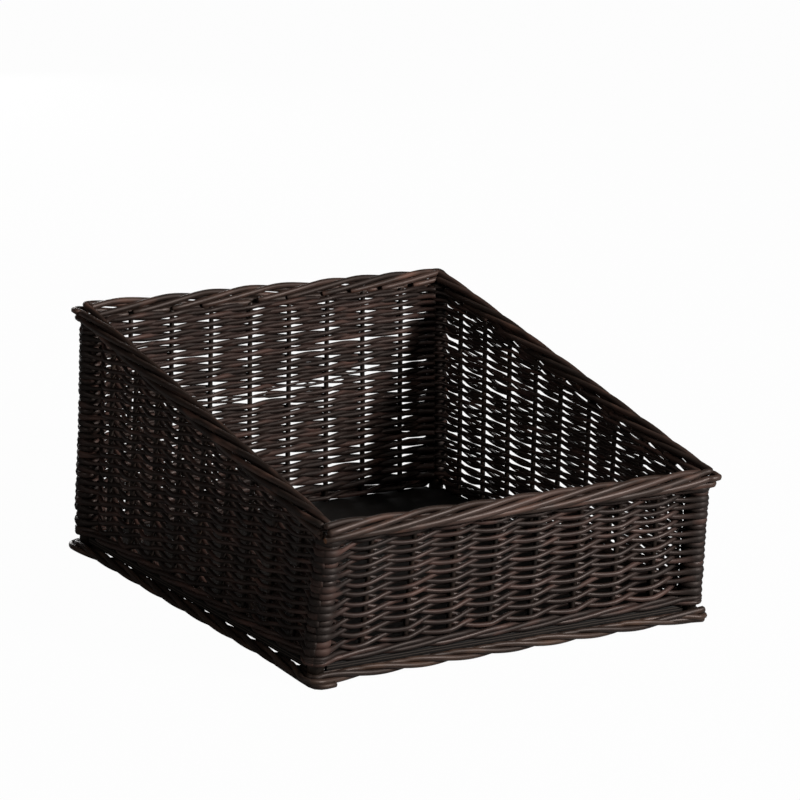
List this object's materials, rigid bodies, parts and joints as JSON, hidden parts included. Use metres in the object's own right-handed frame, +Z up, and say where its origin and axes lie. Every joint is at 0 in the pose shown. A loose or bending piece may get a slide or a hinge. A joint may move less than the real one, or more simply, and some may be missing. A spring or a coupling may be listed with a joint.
{
  "type": "wicker display basket",
  "caption": "Square woven willow display basket with a tall back, a low front and slanted sides, on a flat board with a twisted foot border; holds goods tilted into view.",
  "frame": {"origin": "middle of the footprint box, on the floor under the foot border", "axes": "+Z up, -Y towards the low front, +Y towards the tall back, +X to the right seen from the front"},
  "size_m": [0.4042, 0.4182, 0.2208],
  "materials": {
    "board": "black-brown stained plywood, matt",
    "willow_post": "dark stained willow stick",
    "willow_stake": "dark stained willow rod",
    "willow_weaver": "espresso stained peeled willow, satin",
    "willow_rim": "espresso stained willow rod, satin",
    "willow_foot": "espresso stained willow rod, satin"
  },
  "bodies": {
    "root": {"base_board": "board", "corner_post_front_left": "willow_post", "corner_post_front_right": "willow_post", "corner_post_back_left": "willow_post", "corner_post_back_right": "willow_post", "stake_front_1": "willow_stake", "stake_front_2": "willow_stake", "stake_front_3": "willow_stake", "stake_front_4": "willow_stake", "stake_front_5": "willow_stake", "stake_front_6": "willow_stake", "stake_front_7": "willow_stake", "stake_front_8": "willow_stake", "stake_right_1": "willow_stake", "stake_right_2": "willow_stake", "stake_right_3": "willow_stake", "stake_right_4": "willow_stake", "stake_right_5": "willow_stake", "stake_right_6": "willow_stake", "stake_right_7": "willow_stake", "stake_right_8": "willow_stake", "stake_right_9": "willow_stake", "stake_back_1": "willow_stake", "stake_back_2": "willow_stake", "stake_back_3": "willow_stake", "stake_back_4": "willow_stake", "stake_back_5": "willow_stake", "stake_back_6": "willow_stake", "stake_back_7": "willow_stake", "stake_back_8": "willow_stake", "stake_left_1": "willow_stake", "stake_left_2": "willow_stake", "stake_left_3": "willow_stake", "stake_left_4": "willow_stake", "stake_left_5": "willow_stake", "stake_left_6": "willow_stake", "stake_left_7": "willow_stake", "stake_left_8": "willow_stake", "stake_left_9": "willow_stake", "weave_front": "willow_weaver", "weave_right": "willow_weaver", "weave_back": "willow_weaver", "weave_left": "willow_weaver", "rim_rod_front_1": "willow_rim", "rim_rod_front_2": "willow_rim", "rim_rod_front_3": "willow_rim", "rim_rod_right_1": "willow_rim", "rim_rod_right_2": "willow_rim", "rim_rod_right_3": "willow_rim", "rim_rod_back_1": "willow_rim", "rim_rod_back_2": "willow_rim", "rim_rod_back_3": "willow_rim", "rim_rod_left_1": "willow_rim", "rim_rod_left_2": "willow_rim", "rim_rod_left_3": "willow_rim", "foot_border_front": "willow_foot", "foot_border_right": "willow_foot", "foot_border_back": "willow_foot", "foot_border_left": "willow_foot"}
  },
  "joints": []
}
